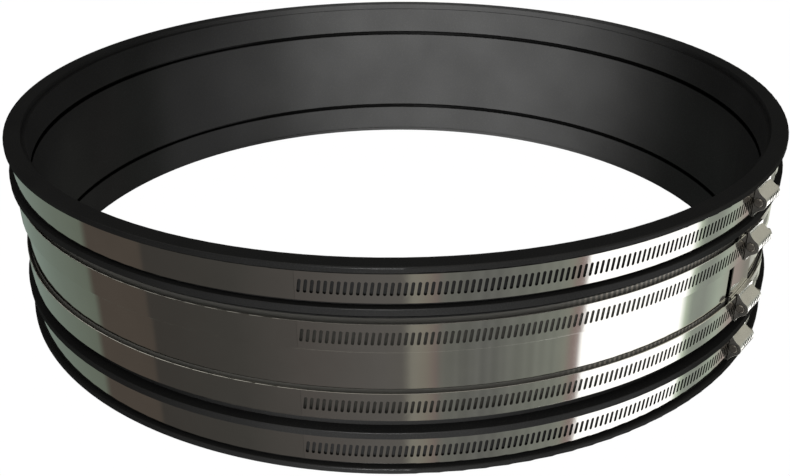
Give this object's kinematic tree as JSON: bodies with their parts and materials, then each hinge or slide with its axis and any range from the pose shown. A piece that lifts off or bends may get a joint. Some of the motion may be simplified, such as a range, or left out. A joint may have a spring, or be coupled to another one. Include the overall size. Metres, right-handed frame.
{
  "type": "pipe coupling",
  "caption": "Wide rubber adaptor coupling for large pipes: ridged rubber sleeve, split steel shear ring over its middle, worm-drive slotted strap clamps.",
  "frame": {"origin": "centre of the bore on the lower end face", "axes": "+Z along the bore towards the upper end; the worm screws are on the +X, -Y side"},
  "size_m": [0.633, 0.633, 0.15],
  "materials": {
    "epdm_rubber": "moulded EPDM rubber, satin black",
    "ring_steel": "bright rolled stainless sheet",
    "strap_steel": "bright stainless band",
    "housing_steel": "pressed stainless, satin",
    "screw_steel": "turned stainless screw"
  },
  "bodies": {
    "root": {"rubber_sleeve": "epdm_rubber", "shear_ring": "ring_steel", "clamp_1_plain_strap": "strap_steel", "clamp_1_housing": "housing_steel", "clamp_1_saddle": "strap_steel", "clamp_2_plain_strap": "strap_steel", "clamp_2_housing": "housing_steel", "clamp_2_saddle": "strap_steel", "clamp_3_plain_strap": "strap_steel", "clamp_3_housing": "housing_steel", "clamp_3_saddle": "strap_steel", "clamp_4_plain_strap": "strap_steel", "clamp_4_housing": "housing_steel", "clamp_4_saddle": "strap_steel"},
    "clamp_1_strap": {"clamp_1_slotted_strap": "strap_steel"},
    "clamp_1_screw": {"clamp_1_screw": "screw_steel"},
    "clamp_2_strap": {"clamp_2_slotted_strap": "strap_steel"},
    "clamp_2_screw": {"clamp_2_screw": "screw_steel"},
    "clamp_3_strap": {"clamp_3_slotted_strap": "strap_steel"},
    "clamp_3_screw": {"clamp_3_screw": "screw_steel"},
    "clamp_4_strap": {"clamp_4_slotted_strap": "strap_steel"},
    "clamp_4_screw": {"clamp_4_screw": "screw_steel"}
  },
  "joints": [
    {"name": "clamp_1_strap_travel", "type": "hinge", "parent": "root", "child": "clamp_1_strap", "pos_m": [0, 0, 0.13405], "axis": [0, 0, 1], "range_deg": [0, 8.64]},
    {"name": "clamp_1_screw_turn", "type": "hinge", "parent": "root", "child": "clamp_1_screw", "pos_m": [0.24771, -0.19781, 0.13405], "axis": [-0.624, -0.7814, 0], "range_deg": [0, 4320.01]},
    {"name": "clamp_2_strap_travel", "type": "hinge", "parent": "root", "child": "clamp_2_strap", "pos_m": [0, 0, 0.09995], "axis": [0, 0, 1], "range_deg": [0, 8.64]},
    {"name": "clamp_2_screw_turn", "type": "hinge", "parent": "root", "child": "clamp_2_screw", "pos_m": [0.24771, -0.19781, 0.09995], "axis": [-0.624, -0.7814, 0], "range_deg": [0, 4320.01]},
    {"name": "clamp_3_strap_travel", "type": "hinge", "parent": "root", "child": "clamp_3_strap", "pos_m": [0, 0, 0.05005], "axis": [0, 0, 1], "range_deg": [0, 8.64]},
    {"name": "clamp_3_screw_turn", "type": "hinge", "parent": "root", "child": "clamp_3_screw", "pos_m": [0.24771, -0.19781, 0.05005], "axis": [-0.624, -0.7814, 0], "range_deg": [0, 4320.01]},
    {"name": "clamp_4_strap_travel", "type": "hinge", "parent": "root", "child": "clamp_4_strap", "pos_m": [0, 0, 0.01595], "axis": [0, 0, 1], "range_deg": [0, 8.64]},
    {"name": "clamp_4_screw_turn", "type": "hinge", "parent": "root", "child": "clamp_4_screw", "pos_m": [0.24771, -0.19781, 0.01595], "axis": [-0.624, -0.7814, 0], "range_deg": [0, 4320.01]}
  ],
  "couplings": [
    {"joint": "clamp_1_screw_turn", "follows": "clamp_1_strap_travel", "ratio": 500},
    {"joint": "clamp_2_screw_turn", "follows": "clamp_2_strap_travel", "ratio": 500},
    {"joint": "clamp_3_screw_turn", "follows": "clamp_3_strap_travel", "ratio": 500},
    {"joint": "clamp_4_screw_turn", "follows": "clamp_4_strap_travel", "ratio": 500}
  ]
}
